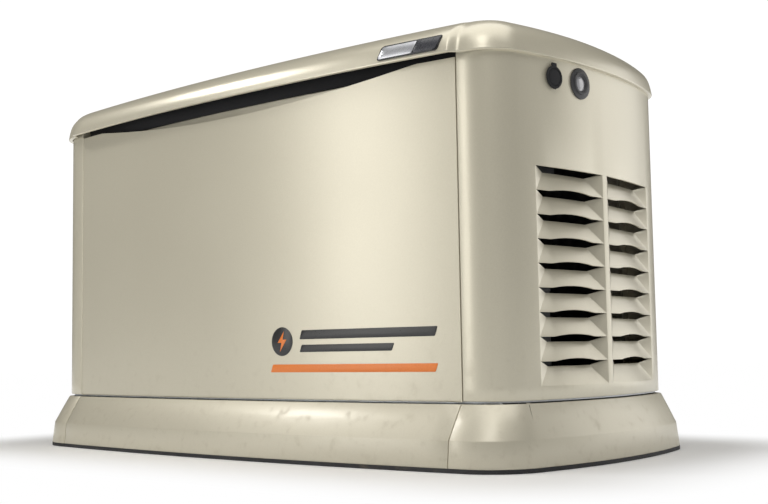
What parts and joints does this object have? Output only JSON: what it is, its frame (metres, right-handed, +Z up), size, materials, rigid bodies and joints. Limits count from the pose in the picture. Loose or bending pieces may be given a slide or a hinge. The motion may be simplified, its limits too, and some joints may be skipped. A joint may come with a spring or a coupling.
{
  "type": "home standby generator",
  "caption": "Air-cooled home standby generator: louvred sheet-metal enclosure with a hinged lid and lift-off front panel over an engine, alternator, muffler and controls.",
  "frame": {"origin": "middle of the pad's underside, on the ground", "axes": "+Z up, X along the enclosure, -Y towards the front panel"},
  "size_m": [1.218, 0.638, 0.732],
  "materials": {
    "beige_paint": "satin powder coat",
    "pad_composite": "moulded, matte",
    "zinc_steel": "zinc plated",
    "bright_steel": "machined",
    "black_rubber": "matte",
    "badge_plastic": "gloss with a satin silver field",
    "black_plastic": "fine texture",
    "grey_lens": "smoked translucent",
    "black_paint": "satin",
    "cast_alloy": "as cast",
    "filter_paint": "gloss",
    "yellow_plastic": "gloss",
    "core_steel": "varnished laminations",
    "exhaust_steel": "heat tinted",
    "brass_fitting": "machined",
    "green_plastic": "gloss",
    "amber_plastic": "gloss",
    "red_plastic": "gloss",
    "white_plastic": "gloss",
    "battery_case": "moulded"
  },
  "bodies": {
    "root": {"mounting_pad": "pad_composite", "base_tray": "zinc_steel", "fascia_front": "beige_paint", "fascia_rear": "beige_paint", "fascia_right": "beige_paint", "fascia_left": "beige_paint", "right_end_panel": "beige_paint", "left_end_panel": "beige_paint", "rear_panel": "beige_paint", "header_rail": "beige_paint", "lid_seal": "black_rubber", "hinge_leaves_body": "zinc_steel", "hinge_pins": "bright_steel", "lock_housings": "bright_steel", "sight_glass_bezel": "black_plastic", "sight_glass_lens": "grey_lens", "bulkhead": "zinc_steel", "engine_cradle": "black_paint", "rubber_mounts": "black_rubber", "crankcase": "cast_alloy", "cylinders": "cast_alloy", "cylinder_heads": "cast_alloy", "valve_covers": "black_paint", "intake_manifold": "cast_alloy", "fuel_mixer": "cast_alloy", "air_filter_box": "black_plastic", "oil_filter": "filter_paint", "dipstick_tube": "bright_steel", "starter_motor": "black_paint", "blower_shroud": "black_plastic", "alternator_case": "cast_alloy", "stator_core": "core_steel", "exhaust_pipes": "exhaust_steel", "muffler": "exhaust_steel", "fuel_regulator": "cast_alloy", "fuel_hose": "black_rubber", "fuel_inlet": "brass_fitting", "control_box": "black_plastic", "main_breaker": "black_plastic", "battery": "battery_case", "battery_strap": "black_rubber", "panel_screws": "bright_steel"},
    "lid": {"lid": "beige_paint", "lid_badge": "badge_plastic", "hinge_leaves_lid": "zinc_steel", "lid_strikes": "zinc_steel"},
    "front_panel": {"front_panel": "beige_paint"},
    "right_lock": {"right_lock_cam": "bright_steel"},
    "left_lock": {"left_lock_cam": "bright_steel"},
    "right_cover": {"right_lock_cover": "black_rubber"},
    "left_cover": {"left_lock_cover": "black_rubber"},
    "rotating_group": {"crankshaft": "bright_steel", "flywheel": "cast_alloy", "alternator_rotor": "core_steel"},
    "throttle": {"throttle_lever": "bright_steel"},
    "dipstick": {"dipstick": "yellow_plastic"},
    "auto_key": {"auto_key": "green_plastic"},
    "manual_key": {"manual_key": "amber_plastic"},
    "off_key": {"off_key": "red_plastic"},
    "breaker_toggle": {"breaker_toggle": "white_plastic"}
  },
  "joints": [
    {"name": "lid_hinge", "type": "hinge", "parent": "root", "child": "lid", "pos_m": [0, 0.29467, 0.612], "axis": [-1, 0, 0], "range_deg": [0, 100]},
    {"name": "front_panel_off", "type": "slide", "parent": "root", "child": "front_panel", "axis": [0, -1, 0], "range_m": [0, 0.3]},
    {"name": "right_lock_turn", "type": "hinge", "parent": "root", "child": "right_lock", "pos_m": [0.57032, -0.132, 0.594], "axis": [0.9883, -0.1524, 0], "range_deg": [0, 90]},
    {"name": "left_lock_turn", "type": "hinge", "parent": "root", "child": "left_lock", "pos_m": [-0.57032, -0.132, 0.594], "axis": [0.9883, 0.1524, 0], "range_deg": [0, 90]},
    {"name": "right_cover_lift", "type": "hinge", "parent": "root", "child": "right_cover", "pos_m": [0.57428, -0.13261, 0.615], "axis": [-0.1524, -0.9883, 0], "range_deg": [0, 90]},
    {"name": "left_cover_lift", "type": "hinge", "parent": "root", "child": "left_cover", "pos_m": [-0.57428, -0.13261, 0.615], "axis": [-0.1524, 0.9883, 0], "range_deg": [0, 90]},
    {"name": "crank_spin", "type": "hinge", "parent": "root", "child": "rotating_group", "pos_m": [0, 0, 0.285], "axis": [1, 0, 0], "continuous": true},
    {"name": "throttle_turn", "type": "hinge", "parent": "root", "child": "throttle", "pos_m": [-0.135, -0.03, 0.499], "axis": [0, 1, 0], "range_deg": [0, 70], "stiffness_Nm_per_rad": 0.05, "springref_deg": -28.65},
    {"name": "dipstick_pull", "type": "slide", "parent": "root", "child": "dipstick", "axis": [0, 0, 1], "range_m": [0, 0.12]},
    {"name": "auto_key_press", "type": "slide", "parent": "root", "child": "auto_key", "axis": [0, 0, -1], "range_m": [0, 0.0015], "stiffness_N_per_m": 600, "springref_m": -0.001},
    {"name": "manual_key_press", "type": "slide", "parent": "root", "child": "manual_key", "axis": [0, 0, -1], "range_m": [0, 0.0015], "stiffness_N_per_m": 600, "springref_m": -0.001},
    {"name": "off_key_press", "type": "slide", "parent": "root", "child": "off_key", "axis": [0, 0, -1], "range_m": [0, 0.0015], "stiffness_N_per_m": 600, "springref_m": -0.001},
    {"name": "breaker_throw", "type": "hinge", "parent": "root", "child": "breaker_toggle", "pos_m": [0.488, -0.13, 0.58], "axis": [1, 0, 0], "range_deg": [-18, 18]}
  ]
}
